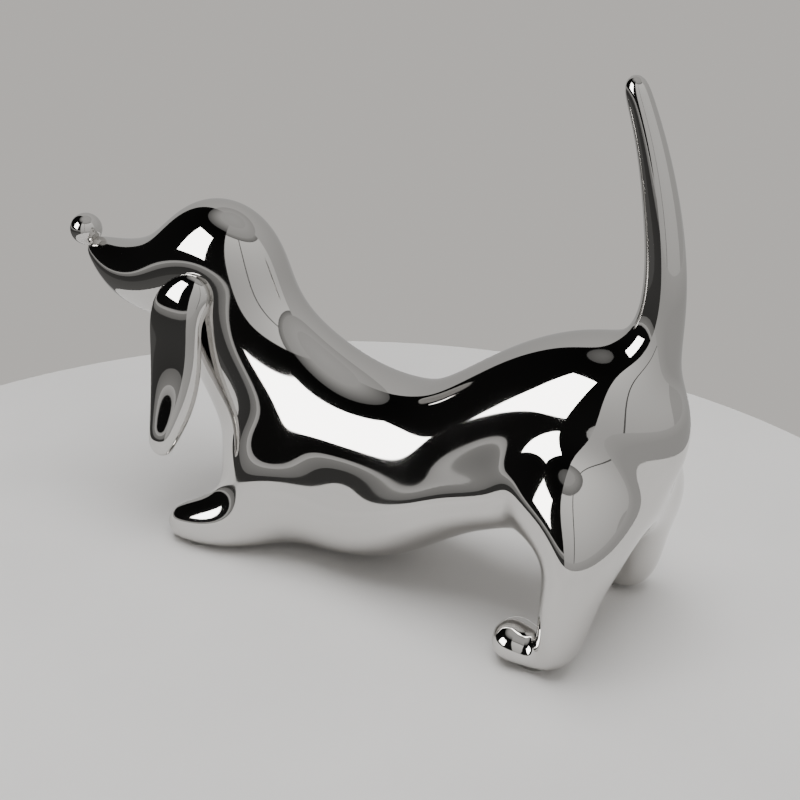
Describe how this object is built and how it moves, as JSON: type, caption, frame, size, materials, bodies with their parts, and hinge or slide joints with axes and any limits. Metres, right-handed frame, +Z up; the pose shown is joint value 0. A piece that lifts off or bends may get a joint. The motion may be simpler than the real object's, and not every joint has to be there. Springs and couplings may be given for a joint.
{
  "type": "dog figurine",
  "caption": "Mirror-finished ceramic figurine of a long, low hound stretching on its forelegs, with hanging ears, a ball nose and an upright tail.",
  "frame": {"origin": "on the supporting surface, under the centre of the figure's overall box", "axes": "-Y towards the nose, +X the dog's left side, +Z up"},
  "size_m": [0.118, 0.3836, 0.2682],
  "materials": {
    "mirror_plate": "silver mirror plating over a glazed ceramic body",
    "foot_pad": "matte translucent grey"
  },
  "bodies": {
    "root": {"torso_casting": "mirror_plate", "head_casting": "mirror_plate", "nose_ball": "mirror_plate", "left_ear": "mirror_plate", "right_ear": "mirror_plate", "tail_casting": "mirror_plate", "front_left_leg": "mirror_plate", "front_right_leg": "mirror_plate", "rear_left_leg": "mirror_plate", "rear_right_leg": "mirror_plate", "front_left_foot_pad": "foot_pad", "front_right_foot_pad": "foot_pad", "rear_left_foot_pad": "foot_pad", "rear_right_foot_pad": "foot_pad"}
  },
  "joints": []
}
